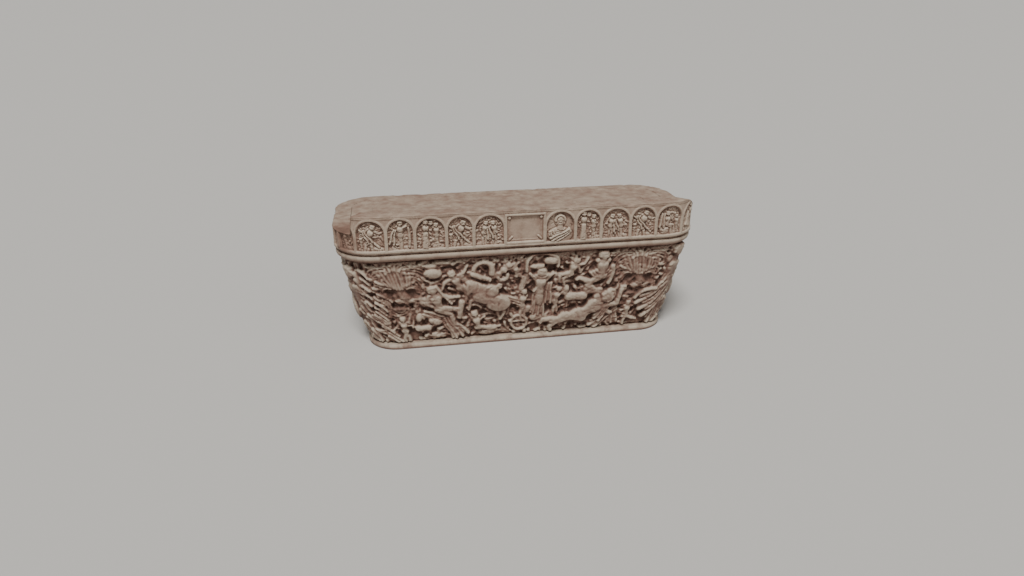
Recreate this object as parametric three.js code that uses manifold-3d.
// A stone sarcophagus of the tub kind: a long chest with rounded ends and flaring walls, carved all
// round with a crowded frieze between two lion masks, and a flat lid whose raised front carries an
// arcade of small niches about a blank panel. The chest is hollow and the lid rests on it.
// Millimetres, +X along the length, -Y towards the carved front, +Z up, origin on the floor below
// the middle of the lid.
import * as THREE from "three";
import { mergeVertices } from "three/addons/utils/BufferGeometryUtils.js";
import Module from "manifold-3d";

const { Manifold, Mesh: SolidMesh } = await Module().then((wasm) => {
  wasm.setup();
  return wasm;
});

// Chest: plan at the rim and at the foot, heights, walls
const RIM_LENGTH = 1902;
const RIM_DEPTH = 708;
const RIM_CORNER = 210;
const FOOT_LENGTH = 1630;
const FOOT_DEPTH = 610;
const FOOT_CORNER = 160;
const CHEST_HEIGHT = 545;
const WALL_BOW = 0.2; // how far the wall's outline bows out between foot and rim
const RIM_WALL = 120; // stone between the rim's edge and the hollow
const FOOT_WALL = 135; // stone between the foot's edge and the hollow, at the hollow's floor
const FLOOR_THICKNESS = 95;
const RELIEF_DEPTH = 45; // how far the ground of the frieze lies behind the rim and the foot
const FOOT_LEDGE = 27;
const FOOT_CHAMFER = 4;
const FOOT_SLOPE = 9; // the worn slope at the back of the ledge
const RIM_ROLL = 19; // radius of the roll below the rim's top
const RIM_FILLET = 5;
const HOLLOW_FILLET = 20; // where the hollow's walls meet its floor
const RELIEF_LIMIT = 57; // the most that the frieze stands out from its ground
const MEASURE_INSET = [168, 40, 35]; // length, depth and corner taken off the rim's plan for the outline
// along which distances on the frieze are measured
const MASK_PLACE = 612; // distance of the lion masks from the middle of the front
const MASK_LEVEL = 335;

// Lid: outline, heights, the raised arcade and the slab behind it
const LID_OVERHANG = 1.5; // past the chest's rim, all round
const LID_HEIGHT = 200;
const LID_SLAB = 112;
const PARAPET = 88; // thickness of the raised front
const LID_GROOVE = 11; // height of the sunk joint under the lid's edge
const LID_GROOVE_DEPTH = 15;
const LID_CHAMFER = 4;
const SEAT_GAP = 0.3;
// The raised front is broken off at these degrees round its corners, low down and at its top
const LEFT_BREAK = [35, 30];
const RIGHT_BREAK = [66, 27];

// Arcade: from the blank panel outwards, the widths of the niches on one half of the front
const PANEL_WIDTH = 202;
const FRONT_NICHES = [158, 135, 155, 139, 156];
const END_NICHES = 4;
const PILASTER = 17;
const NICHE_FOOT = 25; // from the lid's underside to the niches' floor
const NICHE_HEIGHT = 152;
const NICHE_DEPTH = 15;
const STEP_WIDTH = 5; // the slant at the edge of a niche or a frame
const PANEL_FRAME = 10;
const PANEL_DEPTH = 13;

// How closely the shapes are drawn
const CORNER_STEPS = 7;
const STRAIGHT_STEPS = 3;
const SEAM_STEPS = 4;
const ARCH_STEPS = 7;
const SAMPLE_SPACING = 7; // the relief is sampled this closely to place its triangles
const CHEST_TRIANGLES = 6300;
const LID_TRIANGLES = 2150;
const END_START = 960; // distance from the middle of the front past which the ends are drawn less closely
const END_WEIGHT = 0.6;
const MASK_FACE = 105; // the masks' faces are drawn more closely within this distance
const MASK_WEIGHT = 1.8;
const FLANK_SLOPE = 2.2; // how steeply the forms' sides fall to the ground
const WEAR = [[0, 6], [6, 0], [0, -6], [-6, 0]]; // a height is the mean of these places about a point
const radians = THREE.MathUtils.degToRad;

// Outlines: a rounded rectangle walked by the distance s from the middle of the front

function outline(length, depth, corner) {
  return { straight: length / 2 - corner, across: depth / 2 - corner, corner };
}

function lengths(plan) {
  const arc = (plan.corner * Math.PI) / 2;
  return [plan.straight, arc, 2 * plan.across, arc, plan.straight];
}

function halfRound(plan) {
  return lengths(plan).reduce((sum, piece) => sum + piece, 0);
}

// The point of `plan` that answers to distance s on `reference`, moved outwards by `out`.
function alongOutline(reference, plan, s, z, out) {
  const side = s < 0 ? -1 : 1;
  const walk = lengths(reference);
  let left = Math.abs(s);
  let part = 0;
  while (part < 4 && left > walk[part]) {
    left -= walk[part];
    part += 1;
  }
  const share = Math.min(left / walk[part], 1);
  const { straight, across, corner } = plan;
  const reach = corner + out;
  const turn = (share * Math.PI) / 2;
  const [x, y] = [
    () => [share * straight, -across - reach],
    () => [straight + reach * Math.sin(turn), -across - reach * Math.cos(turn)],
    () => [straight + reach, -across + share * 2 * across],
    () => [straight + reach * Math.cos(turn), across + reach * Math.sin(turn)],
    () => [(1 - share) * straight, across + reach],
  ][part]();
  return new THREE.Vector3(side * x, y, z);
}

// Distances at which an outline gets its columns: few on the straights, close round the corners.
function columns(reference, straightSteps) {
  const walk = lengths(reference);
  const steps = [straightSteps, CORNER_STEPS, 1, CORNER_STEPS, straightSteps];
  const half = [];
  let start = 0;
  walk.forEach((piece, part) => {
    for (let i = 0; i < steps[part]; i += 1) half.push(start + (piece * i) / steps[part]);
    start += piece;
  });
  const mirrored = half.slice(1).map((s) => -s).reverse();
  return [...mirrored, ...half, start];
}

// Chest wall: plan at each height, and the ground that the frieze stands on

const chestReference = outline(
  RIM_LENGTH - MEASURE_INSET[0],
  RIM_DEPTH - MEASURE_INSET[1],
  RIM_CORNER - MEASURE_INSET[2],
);

function chestPlan(z) {
  const rise = THREE.MathUtils.clamp(z / CHEST_HEIGHT, 0, 1);
  const flare = rise + WALL_BOW * rise * (1 - rise);
  return outline(
    THREE.MathUtils.lerp(FOOT_LENGTH, RIM_LENGTH, flare) - 2 * RELIEF_DEPTH,
    THREE.MathUtils.lerp(FOOT_DEPTH, RIM_DEPTH, flare) - 2 * RELIEF_DEPTH,
    THREE.MathUtils.lerp(FOOT_CORNER, RIM_CORNER, rise) - RELIEF_DEPTH,
  );
}

const onChest = (s, z, out) => alongOutline(chestReference, chestPlan(z), s, z, out);

// Lid wall: upright, its point measured from the lid's underside

const lidPlan = outline(
  RIM_LENGTH + 2 * LID_OVERHANG,
  RIM_DEPTH + 2 * LID_OVERHANG,
  RIM_CORNER + LID_OVERHANG,
);
const LID_BASE = CHEST_HEIGHT + SEAT_GAP;
const onLid = (s, z, out) => alongOutline(lidPlan, lidPlan, s, LID_BASE + z, out);

// Solids

function solidOf(geometry) {
  const bare = geometry.index ? geometry.toNonIndexed() : geometry;
  bare.deleteAttribute("normal");
  bare.deleteAttribute("uv");
  const merged = mergeVertices(bare, 1e-3);
  const corners = merged.index.array;
  const kept = [];
  for (let i = 0; i < corners.length; i += 3) {
    const [a, b, c] = corners.slice(i, i + 3);
    if (a !== b && b !== c && c !== a) kept.push(a, b, c);
  }
  return new Manifold(
    new SolidMesh({
      numProp: 3,
      vertProperties: merged.attributes.position.array,
      triVerts: new Uint32Array(kept),
    }),
  );
}

function geometryOf(solid) {
  const { vertProperties, triVerts } = solid.getMesh();
  const geometry = new THREE.BufferGeometry();
  geometry.setAttribute("position", new THREE.BufferAttribute(vertProperties, 3));
  geometry.setIndex(new THREE.BufferAttribute(triVerts, 1));
  geometry.computeVertexNormals();
  return geometry;
}

// A closed stack of rings from bottom to top, each ring a list of points in the same order.
function stack(rings) {
  const count = rings[0].length;
  const positions = rings.flat().flatMap((p) => p.toArray());
  const index = [];
  for (let row = 0; row + 1 < rings.length; row += 1) {
    for (let i = 0; i < count; i += 1) {
      const a = row * count + i;
      const b = row * count + ((i + 1) % count);
      index.push(a, b, b + count, a, b + count, a + count);
    }
  }
  const top = (rings.length - 1) * count;
  for (let i = 1; i + 1 < count; i += 1) {
    index.push(0, i + 1, i, top, top + i, top + i + 1);
  }
  const geometry = new THREE.BufferGeometry();
  geometry.setAttribute("position", new THREE.Float32BufferAttribute(positions, 3));
  geometry.setIndex(index);
  return solidOf(geometry);
}

// Relief forms, in the wall's own flat coordinates: x along it, y up it, out from its ground

// A limb: a tapering length of body, fold or branch between two points [x, y, out].
function limb(from, to, startRadius, endRadius = startRadius, flat = 1) {
  return { from, to, startRadius, endRadius, flat };
}

// A rounded mass: a head, a rump, a boulder. It is a turned ellipse in the wall's plane.
function mass(centre, halfWidth, halfHeight, rise, tilt = 0) {
  const turn = radians(tilt);
  return { centre, halfWidth, halfHeight, rise, turn };
}

// How far `form` stands out at a point of the wall; beside it this falls away below the ground.
function reach(form, x, y) {
  if (form.centre) {
    const [dx, dy] = [x - form.centre[0], y - form.centre[1]];
    const [cos, sin] = [Math.cos(form.turn), Math.sin(form.turn)];
    const across = (dx * cos + dy * sin) / form.halfWidth;
    const along = (dy * cos - dx * sin) / form.halfHeight;
    const gap = Math.hypot(across, along);
    if (gap < 1) return form.centre[2] + form.rise * Math.sqrt(1 - gap * gap);
    return form.centre[2] - FLANK_SLOPE * (gap - 1) * Math.min(form.halfWidth, form.halfHeight);
  }
  const { from, to, startRadius, endRadius, flat } = form;
  const [wayX, wayY] = [to[0] - from[0], to[1] - from[1]];
  const along = ((x - from[0]) * wayX + (y - from[1]) * wayY) / (wayX * wayX + wayY * wayY);
  const share = THREE.MathUtils.clamp(along, 0, 1);
  const radius = THREE.MathUtils.lerp(startRadius, endRadius, share);
  const gap = Math.hypot(x - from[0] - wayX * share, y - from[1] - wayY * share);
  const edge = THREE.MathUtils.lerp(from[2], to[2], share);
  if (gap < radius) return edge + flat * Math.sqrt(radius * radius - gap * gap);
  return edge - FLANK_SLOPE * (gap - radius);
}

// Directions in the wall's plane: 0 hangs down, 90 points right, 180 points up.
const heading = (angle) => [Math.sin(radians(angle)), -Math.cos(radians(angle))];

function step([x, y], angle, distance) {
  const [dx, dy] = heading(angle);
  return [x + dx * distance, y + dy * distance];
}

// Lengths and radii given as shares of a figure's size.
function sized(size, lengths, radii) {
  return { lengths: lengths.map((share) => share * size), radii: radii.map((share) => share * size) };
}

// A limb of two lengths with a bend between, such as an arm or a leg.
function bent(from, angles, share, out, flat) {
  const [upper, lower] = share.lengths;
  const [root, joint, tip] = share.radii;
  const middle = step(from, angles[0], upper);
  const end = step(middle, angles[1], lower);
  return [
    limb([...from, out], [...middle, out * 1.1], root, joint, flat),
    limb([...middle, out * 1.1], [...end, out], joint, tip, flat),
  ];
}

// Long folds of cloth that spread from one line to another.
function folds(from, to, startSpread, endSpread, count, radius, out, flat) {
  const [ax, ay] = from;
  const [bx, by] = to;
  const length = Math.hypot(bx - ax, by - ay);
  const across = [(by - ay) / length, (ax - bx) / length];
  return Array.from({ length: count }, (_, i) => {
    const place = count > 1 ? i / (count - 1) - 0.5 : 0;
    const a = place * startSpread;
    const b = place * endSpread;
    return limb(
      [ax + across[0] * a, ay + across[1] * a, out],
      [bx + across[0] * b, by + across[1] * b, out],
      radius * 0.7,
      radius,
      flat,
    );
  });
}

// A human figure from the hip outwards. Angles are headings; `dress` is bare or gown.
function person({ hip, height, lean = 180, arms, legs, dress = "bare", out = 22, flat = 1, wings }) {
  const chest = step(hip, lean, height * 0.2);
  const neck = step(hip, lean, height * 0.29);
  const head = step(hip, lean, height * 0.39);
  const side = (amount, base) => step(base, lean - 90, amount * height);
  const forms = [
    limb([...hip, out], [...chest, out * 1.15], height * 0.075, height * 0.1, flat),
    mass([...head, out * 1.3], height * 0.062, height * 0.075, height * 0.062 * flat, lean - 180),
  ];
  const arm = sized(height, [0.17, 0.17], [0.04, 0.033, 0.024]);
  const leg = sized(height, [0.25, 0.25], [0.06, 0.042, 0.027]);
  arms.forEach((angles, i) => {
    forms.push(...bent(side(i ? -0.09 : 0.09, neck), angles, arm, out, flat));
  });
  if (dress === "gown") {
    const hem = step(hip, legs[0][0], height * 0.5);
    forms.push(limb([...hip, out * 0.7], [...hem, out * 0.6], height * 0.07, height * 0.1, flat));
    forms.push(...folds(hip, hem, height * 0.13, height * 0.24, 3, height * 0.024, out * 1.25, flat));
  } else {
    legs.forEach((angles, i) => {
      forms.push(...bent(side(i ? -0.045 : 0.045, hip), angles, leg, out, flat));
    });
  }
  for (const angle of wings ?? []) {
    const tip = step(neck, angle, height * 0.42);
    forms.push(limb([...neck, out * 0.6], [...tip, out * 0.5], height * 0.05, height * 0.09, 0.5 * flat));
  }
  return forms;
}

// A horse, ox, goat or dog seen from its side; `facing` is 1 for right and -1 for left.
function beast({ belly, length, facing, pitch = 0, neck, muzzle, legs, girth = 0.19, out = 22, flat = 1 }) {
  const along = facing * (90 + pitch);
  const chest = step(belly, along, length * 0.3);
  const rump = step(belly, along + 180, length * 0.3);
  const poll = step(chest, facing * neck, length * 0.36);
  const nose = step(poll, facing * muzzle, length * 0.24);
  const leg = sized(length, [0.27, 0.24], [0.085, 0.045, 0.03]);
  const hips = [chest, chest, rump, rump];
  return [
    limb([...rump, out], [...chest, out], length * girth * 1.1, length * girth, flat),
    limb([...chest, out], [...poll, out * 1.2], length * 0.12, length * 0.075, flat),
    limb([...poll, out * 1.3], [...nose, out * 1.3], length * 0.075, length * 0.045, flat),
    ...legs.flatMap(([upper, lower], i) => (
      bent(hips[i], [facing * upper, facing * lower], leg, i % 2 ? out * 0.7 : out, flat)
    )),
  ];
}

// A lion's mask, its forehead leaning to the left: brows, nose, muzzle and jaw in two rings of locks.
function lionMask([x, y]) {
  const forms = [
    mass([x - 6, y + 8, 4], 90, 108, 28),
    mass([x - 50, y + 78, 20], 40, 46, 22, 10),
    mass([x + 6, y + 80, 20], 40, 46, 22, -6),
    limb([x - 6, y + 28, 32], [x + 8, y - 34, 38], 13, 24),
    mass([x - 10, y - 102, 16], 34, 14, 18),
  ];
  for (const side of [-1, 1]) {
    const brow = x - 7 + side * 13;
    const end = x - 6 + side * 92;
    const top = (brow + end) / 2;
    forms.push(
      limb([brow, y + 27, 34], [top, y + 46, 36], 12),
      limb([top, y + 46, 36], [end, y + 18, 26], 12, 8),
      mass([x + 10 + side * 25, y - 54, 28], 30, 20, 24),
      mass([x + side * 74, y - 36, 14], 28, 40, 20, side * 12),
    );
  }
  const locks = (count, near, far, radius, out) => {
    for (let i = 0; i < count; i += 1) {
      const angle = (360 * (i + 0.5)) / count;
      const droop = 26 * Math.sin(radians(angle));
      const rising = Math.cos(radians(angle)) < -0.4;
      const root = step([x - 8, y + 8], angle, near);
      const tip = step([x - 8, y + 8], angle - droop, rising ? far * 0.86 : far);
      forms.push(limb([...root, out], [...tip, out * 0.5], radius, radius * 0.6));
    }
  };
  locks(13, 118, 154, 21, 12);
  locks(15, 160, 192, 23, 5);
  return forms;
}

// The hollows of a mask: two deep-set eyes and the open mouth, each cut back to a level.
function maskHollows([x, y]) {
  return [
    { centre: [x - 58, y + 5], halfWidth: 25, halfHeight: 16, level: 8 },
    { centre: [x + 44, y + 5], halfWidth: 25, halfHeight: 16, level: 8 },
    { centre: [x + 2, y - 80], halfWidth: 44, halfHeight: 13, level: 4 },
  ];
}

// The long strands on the left mask's outer side, in three columns.
function sideStrands() {
  const strands = (count, from, to, fall, radius) => (
    Array.from({ length: count }, (_, i) => {
      const [dx, dy] = [fall[0] * i, fall[1] * i];
      return limb([from[0] + dx, from[1] + dy, 16], [to[0] + dx, to[1] + dy, 20], radius, radius * 0.8);
    })
  );
  return [
    ...strands(5, [-806, 446], [-752, 418], [-9, -43], 14),
    ...strands(4, [-724, 302], [-672, 256], [-17, -31], 11),
    ...strands(4, [-806, 212], [-744, 160], [16, -40], 12),
  ];
}

// A spoked wheel: rim, hub and a bar across.
function wheel([x, y], radius) {
  const SEGMENTS = 8;
  const forms = [limb([x - radius, y, 18], [x + radius, y, 18], 6)];
  for (let i = 0; i < SEGMENTS; i += 1) {
    const a = step([x, y], (360 * i) / SEGMENTS, radius);
    const b = step([x, y], (360 * (i + 1)) / SEGMENTS, radius);
    forms.push(limb([...a, 20], [...b, 20], 7));
  }
  return forms;
}

// A cloth or branch bent into an arch.
function arch([x, y], halfWidth, height, radius) {
  const SEGMENTS = 6;
  const place = (i) => {
    const turn = (Math.PI * i) / SEGMENTS;
    return [x - halfWidth * Math.cos(turn), y + height * Math.sin(turn), 26];
  };
  return Array.from({ length: SEGMENTS }, (_, i) => limb(place(i), place(i + 1), radius));
}

// The frieze of the chest, from the middle of the front outwards to both ends

function middleFigures() {
  return [
    // The team before the chariot, and the wheel
    beast({
      belly: [-190, 262], length: 250, facing: -1, pitch: 25, girth: 0.17, out: 28,
      neck: 150, muzzle: 25, legs: [[60, 10], [95, 60], [-20, 20], [20, -15]],
    }),
    beast({
      belly: [-222, 322], length: 190, facing: -1, pitch: 20, girth: 0.2, out: 16,
      neck: 150, muzzle: 40, legs: [[75, 20]],
    }),
    mass([-134, 234, 34], 58, 42, 22, -6),
    mass([-182, 326, 24], 34, 26, 14),
    wheel([-22, 102], 44),
    limb([-190, 300, 28], [-20, 234, 22], 8, 7),
    // The driver's mantle, blown up into a loop
    limb([-256, 406, 24], [-180, 372, 26], 12),
    limb([-250, 412, 16], [-206, 466, 16], 12),
    limb([-206, 466, 16], [-158, 410, 20], 12, 16),
    // The earth lying under the team
    person({
      hip: [-246, 92], height: 215, lean: 190, out: 20,
      arms: [[-60, -150], [60, 120]], legs: [[72, 100], [88, 92]],
    }),
    // The goddess stepping down under her veil
    person({
      hip: [82, 280], height: 290, lean: 176, dress: "gown", out: 24,
      arms: [[-70, -140], [65, 130]], legs: [[-4, 0]],
    }),
    ...arch([92, 404], 78, 94, 9),
    mass([68, 428, 20], 34, 14, 14),
    mass([136, 455, 18], 36, 20, 16),
    limb([30, 420, 12], [-10, 300, 10], 14, 18),
    // Winged boys beside her and in the air
    person({
      hip: [-8, 205], height: 200, lean: 172, out: 18, wings: [-125],
      arms: [[-50, -120], [40, 80]], legs: [[-20, 5], [30, -5]],
    }),
    person({
      hip: [-128, 398], height: 180, lean: 130, out: 18, wings: [-150, 175],
      arms: [[110, 140], [40, 100]], legs: [[-70, -85], [-50, -95]],
    }),
    person({
      hip: [-30, 390], height: 150, lean: 200, out: 14, wings: [150],
      arms: [[-90, -130], [80, 60]], legs: [[30, -10], [60, 20]],
    }),
    person({
      hip: [238, 376], height: 190, lean: 158, out: 22, wings: [-150],
      arms: [[100, 150], [70, 20]], legs: [[-60, 10], [-80, 0]],
    }),
    person({
      hip: [170, 218], height: 180, lean: 166, out: 18, wings: [-110],
      arms: [[60, 120], [-40, 20]], legs: [[-15, 0], [25, 10]],
    }),
  ].flat();
}

function rightFigures() {
  return [
    // The sleeper on his cloth, an arm round his head
    person({
      hip: [318, 126], height: 430, lean: 126, out: 30,
      arms: [[100, 170], [20, 60]], legs: [[-100, -49], [-69, -95]],
    }),
    limb([436, 226, 24], [470, 268, 24], 12),
    limb([470, 268, 24], [500, 220, 20], 12, 9),
    ...folds([525, 146], [386, 44], 20, 40, 2, 14, 18),
    // The mountain god seated above him
    person({
      hip: [402, 352], height: 300, lean: 180, out: 24,
      arms: [[-35, -60], [62, 5]], legs: [[-62, -115], [-48, 60]],
    }),
    limb([340, 346, 22], [462, 340, 22], 18),
    // The herd between them and the dog
    beast({
      belly: [282, 238], length: 125, facing: -1, girth: 0.22, out: 18,
      neck: 130, muzzle: 50, legs: [[10, -5], [-20, 5]],
    }),
    beast({
      belly: [392, 272], length: 110, facing: -1, girth: 0.2, out: 14,
      neck: 140, muzzle: 60, legs: [[10, -5], [-20, 5]],
    }),
    beast({
      belly: [85, 128], length: 95, facing: 1, girth: 0.22, out: 14,
      neck: 130, muzzle: 80, legs: [[5, 0], [-10, 10]],
    }),
    // A winged boy under the mask, with a bird over him
    person({
      hip: [588, 104], height: 175, lean: 180, out: 18, wings: [130],
      arms: [[-40, -80], [60, 120]], legs: [[-15, 5], [55, 70]],
    }),
    limb([534, 222, 14], [612, 206, 14], 15, 22),
    mass([537, 264, 18], 18, 18, 16),
  ].flat();
}

function leftFigures() {
  return [
    // The seated herdsman with his staff, cloth, dog and rock
    person({
      hip: [-436, 222], height: 290, lean: 190, out: 26,
      arms: [[60, 90], [-30, 60]], legs: [[82, 25], [62, 12]],
    }),
    mass([-496, 268, 14], 46, 34, 26),
    limb([-440, 352, 34], [-376, 250, 34], 7),
    mass([-472, 146, 18], 36, 22, 18, -15),
    ...folds([-410, 160], [-345, 42], 40, 84, 4, 11, 18),
    limb([-322, 250, 28], [-343, 164, 26], 16, 11),
    beast({
      belly: [-476, 112], length: 125, facing: 1, girth: 0.2, out: 14,
      neck: 120, muzzle: 75, legs: [[10, -10], [-15, 5]],
    }),
    mass([-470, 60, 8], 60, 22, 18),
    // A winged boy and a round shield over them
    person({
      hip: [-322, 338], height: 215, lean: 205, out: 22, wings: [120, 100],
      arms: [[120, 150], [-60, -20]], legs: [[25, -15], [60, 20]],
    }),
    mass([-448, 424, 16], 46, 28, 30),
    mass([-453, 462, 10], 36, 18, 18),
    limb([-498, 396, 18], [-450, 374, 20], 8),
    limb([-450, 374, 20], [-402, 396, 18], 8),
    limb([-420, 482, 14], [-370, 478, 14], 13, 12),
    // A small figure under the mask
    person({
      hip: [-640, 98], height: 185, lean: 178, out: 18,
      arms: [[-50, 10], [50, 80]], legs: [[-25, 10], [30, 0]],
    }),
  ].flat();
}

// Heads, leaves and wing tips that fill the top of the frieze under the rim.
function topFilling() {
  const places = [-560, -292, -232, -176, -66, -8, 190, 300, 336, 470, 520, 700, -700];
  return places.flatMap((x, i) => [
    mass([x, 476 - 7 * (i % 3), 8], 22 + 5 * (i % 2), 17, 18, 20 * ((i % 3) - 1)),
    limb([x - 18, 462 - 6 * (i % 3), 8], [x + 22, 446, 6], 9, 7),
  ]);
}

function endFigures() {
  return [
    // Right end: a tall robed woman with her mantle swept back to the mask, then a team going away
    person({
      hip: [812, 270], height: 490, lean: 178, dress: "gown", out: 30,
      arms: [[-60, -20], [70, 130]], legs: [[-8, 0]],
    }),
    ...folds([866, 268], [648, 130], 40, 90, 3, 16, 22),
    beast({
      belly: [1055, 225], length: 300, facing: 1, pitch: 15, out: 24,
      neck: 150, muzzle: 40, legs: [[60, 10], [30, -10], [-20, 10], [10, -10]],
    }),
    person({
      hip: [952, 330], height: 300, lean: 165, dress: "gown", out: 22,
      arms: [[60, 95], [110, 90]], legs: [[-5, 0]],
    }),
    // Left end: a robed woman, then a team rising out of the ground
    person({
      hip: [-872, 245], height: 470, lean: 182, dress: "gown", out: 28,
      arms: [[-60, -30], [50, 100]], legs: [[4, 0]],
    }),
    beast({
      belly: [-1050, 235], length: 300, facing: -1, pitch: 25, out: 24,
      neck: 150, muzzle: 35, legs: [[75, 20], [40, 0], [-20, 10], [10, -10]],
    }),
    person({
      hip: [-985, 340], height: 280, lean: 190, dress: "gown", out: 20,
      arms: [[-60, -95], [-110, -90]], legs: [[10, 0]],
    }),
  ].flat();
}

// The back is cut flatter and with less in it: oxen at grass between two trees.
function backFigures() {
  const middle = halfRound(chestReference);
  const grazing = [[8, -4], [-8, 4], [10, -6], [-10, 4]];
  const tree = (s) => [
    limb([s, 60, 4], [s + 20, 300, 4], 14, 10, 0.7),
    mass([s + 10, 370, 2], 90, 60, 14),
  ];
  return [
    beast({
      belly: [middle - 260, 200], length: 300, facing: 1, out: 6, flat: 0.35,
      neck: 70, muzzle: 20, legs: grazing,
    }),
    beast({
      belly: [260 - middle, 200], length: 300, facing: 1, out: 6, flat: 0.35,
      neck: 110, muzzle: 40, legs: grazing,
    }),
    ...tree(middle - 520),
    ...tree(540 - middle),
  ].flat();
}

// Carved skins: the wall as triangles drawn through the points that its relief needs

// Heights crowd up towards a limit, as in stone cut back from one plane.
function held(height, limit) {
  const free = limit * 0.5;
  if (height < free) return height;
  return limit - (limit - free) * Math.exp(-(height - free) / (limit - free));
}

function reliefAt(forms, x, y, limit, cuts = []) {
  const top = forms.reduce((most, form) => Math.max(most, reach(form, x, y)), 0);
  return cuts.reduce((height, { centre, halfWidth, halfHeight, level }) => {
    const gap = Math.hypot((x - centre[0]) / halfWidth, (y - centre[1]) / halfHeight);
    return gap < 1 ? THREE.MathUtils.lerp(Math.min(height, level), height, gap ** 3) : height;
  }, held(top, limit));
}

// A triangle of wall points with the circle through its corners.
function triangle(points, corners) {
  const [[ax, ay], [bx, by], [cx, cy]] = corners.map((i) => points[i]);
  const area = ax * (by - cy) + bx * (cy - ay) + cx * (ay - by);
  const [a, b, c] = [ax * ax + ay * ay, bx * bx + by * by, cx * cx + cy * cy];
  const x = (a * (by - cy) + b * (cy - ay) + c * (ay - by)) / (2 * area);
  const y = (a * (cx - bx) + b * (ax - cx) + c * (bx - ax)) / (2 * area);
  return { corners, area, x, y, square: (ax - x) ** 2 + (ay - y) ** 2, samples: [], worst: -1, stray: 0 };
}

// How far a flat triangle strays from the sample's height, or -1 where the sample isn't on it.
function strayOf(points, { corners, area }, [x, y, height]) {
  const [[ax, ay, az], [bx, by, bz], [cx, cy, cz]] = corners.map((i) => points[i]);
  const a = (x * (by - cy) + bx * (cy - y) + cx * (y - by)) / area;
  const b = (ax * (y - cy) + x * (cy - ay) + cx * (ay - y)) / area;
  const c = 1 - a - b;
  return Math.min(a, b, c) < -1e-9 ? -1 : Math.abs(a * az + b * bz + c * cz - height);
}

// Puts a new point into the triangles, and hands their samples on to the ones about the point.
function insertPoint(points, triangles, point) {
  const [px, py] = point;
  const place = points.push(point) - 1;
  const edges = new Map();
  const kept = [];
  const loose = [];
  for (const one of triangles) {
    if ((px - one.x) ** 2 + (py - one.y) ** 2 >= one.square) {
      kept.push(one);
      continue;
    }
    loose.push(...one.samples);
    one.corners.forEach((a, k) => {
      const b = one.corners[(k + 1) % 3];
      if (!edges.delete(`${b},${a}`)) edges.set(`${a},${b}`, [a, b]);
    });
  }
  const fresh = [...edges.values()]
    .map(([a, b]) => triangle(points, [a, b, place]))
    .filter(({ area }) => Math.abs(area) > 1e-6);
  for (const sample of loose) {
    for (const one of fresh) {
      const stray = strayOf(points, one, sample) * sample[3];
      if (stray < 0) continue;
      one.samples.push(sample);
      if (stray > one.stray) [one.stray, one.worst] = [stray, one.samples.length - 1];
      break;
    }
  }
  kept.push(...fresh);
  return kept;
}

// A small shake keeps points in even rows off one another's circles.
function shaken([x, y]) {
  return [x + 0.3 * Math.sin(x * 12.9 + y * 78.2), y + 0.3 * Math.sin(x * 39.3 + y * 11.1)];
}

// The carved skin between two heights of a wall: Delaunay triangles through the fixed points, and
// then through the places where they stray farthest from the relief, until there are enough.
function skin({ reference, surface, low, high, heightAt, weightAt, fixed, count }) {
  const half = halfRound(reference);
  const around = columns(reference, STRAIGHT_STEPS);
  const points = [[-half, low, 0], [half, low, 0], [half, high, 0], [-half, high, 0]];
  let triangles = [triangle(points, [0, 1, 2]), triangle(points, [0, 2, 3])];
  const add = (point) => {
    triangles = insertPoint(points, triangles, point);
  };
  for (let x = -half + SAMPLE_SPACING; x < half - SAMPLE_SPACING / 2; x += SAMPLE_SPACING) {
    for (let y = low + SAMPLE_SPACING; y < high - SAMPLE_SPACING / 2; y += SAMPLE_SPACING) {
      const place = shaken([x, y]);
      const sample = [...place, heightAt(...place), weightAt(...place)];
      triangles.find((one) => strayOf(points, one, sample) >= 0).samples.push(sample);
    }
  }
  for (const s of around.slice(0, -1)) {
    add([s, low, 0]);
    add([s, high, 0]);
  }
  for (let i = 1; i < SEAM_STEPS; i += 1) {
    const y = THREE.MathUtils.lerp(low, high, i / SEAM_STEPS);
    add([-half, y, 0]);
    add([half, y, 0]);
    for (const s of around.slice(0, -1)) {
      const place = shaken([s, y]);
      add([...place, heightAt(...place)]);
    }
  }
  for (const [x, y] of fixed.map(shaken)) {
    const inside = Math.abs(x) < half - SAMPLE_SPACING && y > low + 2 && y < high - 2;
    if (inside && points.every(([a, b]) => Math.hypot(a - x, b - y) > 1)) add([x, y, heightAt(x, y)]);
  }
  while (triangles.length < count) {
    const farthest = triangles.reduce((most, one) => (one.stray > most.stray ? one : most));
    add(farthest.samples[farthest.worst]);
  }
  return {
    positions: points.flatMap(([x, y, height]) => surface(x, y, height).toArray()),
    index: triangles.flatMap(({ corners }) => corners),
  };
}

// A closed body: rings below, the carved skin, rings above, and a flat at both ends.
function walled(below, carved, above) {
  const positions = [];
  const index = [];
  const strips = (rings) => {
    const first = positions.length / 3;
    const count = rings[0].length;
    rings.flat().forEach((point) => positions.push(...point.toArray()));
    for (let row = 0; row + 1 < rings.length; row += 1) {
      for (let i = 0; i < count; i += 1) {
        const a = first + row * count + i;
        const b = first + row * count + ((i + 1) % count);
        index.push(a, b, b + count, a, b + count, a + count);
      }
    }
    return { first, count, last: first + (rings.length - 1) * count };
  };
  const foot = strips(below);
  for (let i = 1; i + 1 < foot.count; i += 1) index.push(foot.first, foot.first + i + 1, foot.first + i);
  const head = strips(above);
  for (let i = 1; i + 1 < head.count; i += 1) index.push(head.last, head.last + i, head.last + i + 1);
  const start = positions.length / 3;
  carved.index.forEach((i) => index.push(start + i));
  carved.positions.forEach((value) => positions.push(value));
  const geometry = new THREE.BufferGeometry();
  geometry.setAttribute("position", new THREE.Float32BufferAttribute(positions, 3));
  geometry.setIndex(index);
  return solidOf(geometry);
}

// Chest

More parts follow.
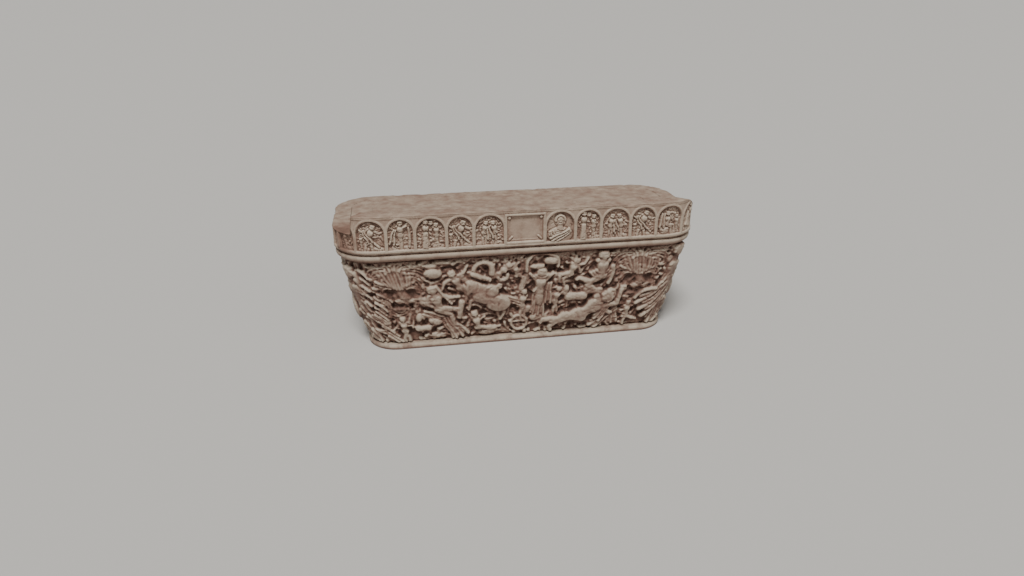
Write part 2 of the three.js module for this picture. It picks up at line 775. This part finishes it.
function chestBody() {
  const around = columns(chestReference, STRAIGHT_STEPS);
  const rings = (rows) => rows.map(([z, out]) => around.map((s) => onChest(s, z, out)));
  const low = FOOT_LEDGE + FOOT_CHAMFER;
  const high = CHEST_HEIGHT - 2 * RIM_ROLL - RIM_FILLET;
  const below = rings([
    [0, RELIEF_DEPTH - FOOT_CHAMFER],
    [FOOT_CHAMFER, RELIEF_DEPTH],
    [FOOT_LEDGE - FOOT_CHAMFER, RELIEF_DEPTH],
    [FOOT_LEDGE, RELIEF_DEPTH - FOOT_SLOPE],
    [low, 0],
  ]);
  const roll = [-90, -45, 0, 45, 90].map((angle) => [
    CHEST_HEIGHT - RIM_ROLL + RIM_ROLL * Math.sin(radians(angle)),
    RELIEF_DEPTH - RIM_ROLL + RIM_ROLL * Math.cos(radians(angle)),
  ]);
  const masks = [[-MASK_PLACE, MASK_LEVEL], [MASK_PLACE, MASK_LEVEL]];
  const forms = [
    ...middleFigures(),
    ...rightFigures(),
    ...leftFigures(),
    ...topFilling(),
    ...endFigures(),
    ...backFigures(),
    ...sideStrands(),
    ...masks.flatMap(lionMask),
  ];
  const hollows = masks.flatMap(maskHollows);
  // Nothing of the frieze stands out past the rim.
  const rimPlane = (z) => RIM_DEPTH / 2 - chestPlan(z).across - chestPlan(z).corner;
  const carved = skin({
    reference: chestReference,
    surface: onChest,
    low,
    high,
    heightAt: (x, y) => {
      const worn = WEAR.reduce((sum, [dx, dy]) => (
        sum + reliefAt(forms, x + dx, y + dy, RELIEF_LIMIT, hollows)
      ), 0);
      return Math.min(worn / WEAR.length, rimPlane(y));
    },
    // The masks' faces are drawn more closely than the rest, and the ends and the back less.
    weightAt: (x, y) => {
      if (Math.abs(x) > END_START) return END_WEIGHT;
      const toMask = Math.hypot(Math.abs(x) - MASK_PLACE, y - MASK_LEVEL);
      return toMask < MASK_FACE ? MASK_WEIGHT : 1;
    },
    fixed: [],
    count: CHEST_TRIANGLES,
  });
  return walled(below, carved, rings([[high, 0], ...roll]));
}

function hollow() {
  const around = columns(chestReference, 1);
  const deep = chestPlan(FLOOR_THICKNESS);
  const mouth = chestPlan(CHEST_HEIGHT);
  const ring = (plan, wall, z) => (
    around.map((s) => alongOutline(chestReference, plan, s, z, RELIEF_DEPTH - wall))
  );
  return stack([
    ring(deep, FOOT_WALL + HOLLOW_FILLET, FLOOR_THICKNESS),
    ring(deep, FOOT_WALL, FLOOR_THICKNESS + HOLLOW_FILLET),
    ring(mouth, RIM_WALL, CHEST_HEIGHT + 1),
  ]);
}

// Lid

// Figures for a niche: robed and standing, seated, or bending forward with a smaller companion.
function nicheFigures(centre, pose) {
  const base = NICHE_FOOT;
  const at = (x, y, out) => [centre + x, base + y, out];
  const standing = [
    mass(at(0, 122, 0), 12, 14, 11),
    limb(at(0, 66, 0), at(0, 98, 1), 16, 15),
    limb(at(-4, 12, -2), at(0, 64, 0), 21, 15),
    limb(at(14, 94, 3), at(30, 62, 3), 7, 6),
    limb(at(-14, 94, 3), at(-8, 66, 8), 7, 6),
  ];
  const seated = [
    mass(at(-16, 116, 0), 12, 13, 11),
    limb(at(-20, 52, 0), at(-16, 92, 1), 18, 15),
    limb(at(-16, 48, 4), at(22, 52, 4), 12, 11),
    limb(at(24, 50, 3), at(28, 12, 0), 10, 8),
    limb(at(-6, 88, 4), at(24, 82, 4), 7, 6),
    mass(at(-20, 18, -4), 24, 18, 8),
  ];
  const bending = [
    mass(at(24, 104, 0), 12, 13, 11),
    limb(at(-12, 62, 0), at(14, 92, 1), 15, 15),
    limb(at(-14, 62, 0), at(-26, 12, -2), 13, 9),
    limb(at(-10, 60, 0), at(8, 12, -2), 12, 8),
    limb(at(18, 86, 4), at(36, 60, 4), 7, 6),
    mass(at(36, 34, -3), 14, 18, 9),
  ];
  return [standing, seated, bending][pose % 3];
}

// The draped bust beside the blank panel.
function bust(centre) {
  const base = NICHE_FOOT + 8;
  return [
    mass([centre, base + 94, -1], 21, 26, 13),
    limb([centre, base + 52, -4], [centre, base + 72, -4], 14, 11),
    mass([centre, base + 28, -6], 58, 38, 16),
    ...folds([centre + 42, base + 50], [centre - 36, base + 6], 18, 34, 3, 5, 3),
  ];
}

// Centres and widths of all the niches, from the middle outwards on each side.
function nicheRow() {
  const frontEdge = PANEL_WIDTH / 2 + FRONT_NICHES.reduce((sum, width) => sum + width, 0);
  const endWidth = (halfRound(lidPlan) - 2 * frontEdge) / END_NICHES;
  const row = [];
  let edge = PANEL_WIDTH / 2;
  [...FRONT_NICHES, ...Array(END_NICHES).fill(endWidth)].forEach((width, place) => {
    for (const side of [-1, 1]) row.push({ centre: side * (edge + width / 2), width, place, side });
    edge += width;
  });
  return row;
}

// Half width and springing height of a niche's opening.
function opening({ width }) {
  const half = (width - PILASTER) / 2;
  return { half, spring: NICHE_FOOT + NICHE_HEIGHT - half };
}

// How far inside (negative) or outside (positive) a point lies of a niche's outline.
function fromNiche(niche, x, y) {
  const { half, spring } = opening(niche);
  const across = Math.abs(x - niche.centre);
  const round = y > spring ? Math.hypot(across, y - spring) - half : across - half;
  return Math.max(round, NICHE_FOOT - y);
}

// How far a point lies outside the blank panel's inner edge, taken as square.
function fromPanel(x, y) {
  const middle = NICHE_FOOT + NICHE_HEIGHT / 2;
  return Math.max(Math.abs(x) - PANEL_WIDTH / 2, Math.abs(y - middle) - NICHE_HEIGHT / 2) + PANEL_FRAME;
}

// The arcade's face stands at 0, and its niches and its panel are sunk behind it.
function arcadeAt(niches, x, y) {
  const sunk = (gap, depth) => depth * THREE.MathUtils.clamp(0.5 - gap / STEP_WIDTH, 0, 1);
  const nearest = Math.min(...niches.map((niche) => fromNiche(niche, x, y)));
  return -sunk(nearest, NICHE_DEPTH) - sunk(fromPanel(x, y), PANEL_DEPTH);
}

// Points in pairs on both sides of each step in the arcade.
function arcadePoints(niches) {
  const points = [];
  const sides = [-STEP_WIDTH / 2, STEP_WIDTH / 2];
  for (const niche of niches) {
    const { half, spring } = opening(niche);
    for (const grow of sides) {
      const radius = half + grow;
      const at = (across, y) => points.push([niche.centre + radius * across, y]);
      for (let i = 0; i <= ARCH_STEPS; i += 1) {
        const turn = (Math.PI * i) / ARCH_STEPS;
        at(Math.cos(turn), spring + radius * Math.sin(turn));
      }
      for (const across of [-1, -0.33, 0.33, 1]) at(across, NICHE_FOOT - grow);
      for (const share of [0.2, 0.4]) {
        at(-1, NICHE_FOOT + share * NICHE_HEIGHT);
        at(1, NICHE_FOOT + share * NICHE_HEIGHT);
      }
    }
  }
  const middle = NICHE_FOOT + NICHE_HEIGHT / 2;
  for (const grow of sides) {
    const halfWidth = PANEL_WIDTH / 2 - PANEL_FRAME + grow;
    const halfHeight = NICHE_HEIGHT / 2 - PANEL_FRAME + grow;
    for (const share of [-1, -0.6, -0.2, 0.2, 0.6, 1]) {
      for (const side of [-1, 1]) {
        points.push([share * halfWidth, middle + side * halfHeight]);
        points.push([side * halfWidth, middle + share * halfHeight]);
      }
    }
  }
  return points;
}

function lidBody() {
  const around = columns(lidPlan, STRAIGHT_STEPS);
  const rings = (rows) => rows.map(([z, out]) => around.map((s) => onLid(s, z, out)));
  const low = LID_GROOVE + LID_CHAMFER;
  const high = LID_HEIGHT - LID_CHAMFER;
  const niches = nicheRow();
  const figures = niches.flatMap(({ centre, place, side }) => (
    place === 0 && side === 1 ? bust(centre) : nicheFigures(centre, place + (side > 0 ? 1 : 0))
  ));
  const carved = skin({
    reference: lidPlan,
    surface: onLid,
    low,
    high,
    heightAt: (x, y) => Math.min(arcadeAt(niches, x, y) + reliefAt(figures, x, y, NICHE_DEPTH), 0),
    weightAt: (x) => (Math.abs(x) > END_START ? END_WEIGHT : 1),
    fixed: arcadePoints(niches),
    count: LID_TRIANGLES,
  });
  const below = rings([
    [0, -LID_GROOVE_DEPTH],
    [LID_GROOVE, -LID_GROOVE_DEPTH],
    [LID_GROOVE, -LID_CHAMFER],
    [low, 0],
  ]);
  return walled(below, carved, rings([[high, 0], [LID_HEIGHT, -LID_CHAMFER]]));
}

// The slab lies lower behind the raised front, and past the breaks at both of its ends.
function lidSinking() {
  const around = columns(lidPlan, 1);
  const inner = (z) => around.map((s) => onLid(s, z, -PARAPET));
  const top = LID_HEIGHT + 1;
  const { straight, across } = lidPlan;
  const rear = new THREE.BoxGeometry(2 * RIM_LENGTH, RIM_DEPTH, top - LID_SLAB);
  rear.translate(0, RIM_DEPTH / 2 - across, LID_BASE + (top + LID_SLAB) / 2);
  // What lies between the break's direction at a corner and the rear.
  const beyond = (side, angle, z) => {
    const [dx, dy] = [Math.sin(radians(angle)) * RIM_DEPTH, -Math.cos(radians(angle)) * RIM_DEPTH];
    const corners = [[0, 0], [dx, dy], [RIM_DEPTH, dy], [RIM_DEPTH, 1]];
    const ring = corners.map(([x, y]) => (
      new THREE.Vector3(side * (straight + x), y - across, LID_BASE + z)
    ));
    return side > 0 ? ring : ring.reverse();
  };
  const broken = (side, [low, high]) => stack([beyond(side, low, LID_SLAB), beyond(side, high, top)]);
  return stack([inner(LID_SLAB), inner(top)])
    .add(solidOf(rear))
    .add(broken(-1, LEFT_BREAK))
    .add(broken(1, RIGHT_BREAK));
}

// The two pieces, each in its own marble

const chestStone = new THREE.MeshStandardMaterial({ color: 0xb5a494, roughness: 0.78, metalness: 0 });
const lidStone = new THREE.MeshStandardMaterial({ color: 0xb9a797, roughness: 0.78, metalness: 0 });

function piece(name, solid, material) {
  const mesh = new THREE.Mesh(geometryOf(solid), material);
  mesh.name = name;
  return mesh;
}

const sarcophagus = new THREE.Group();
sarcophagus.add(piece("chest", chestBody().subtract(hollow()), chestStone));
sarcophagus.add(piece("lid", lidBody().subtract(lidSinking()), lidStone));

export default sarcophagus;
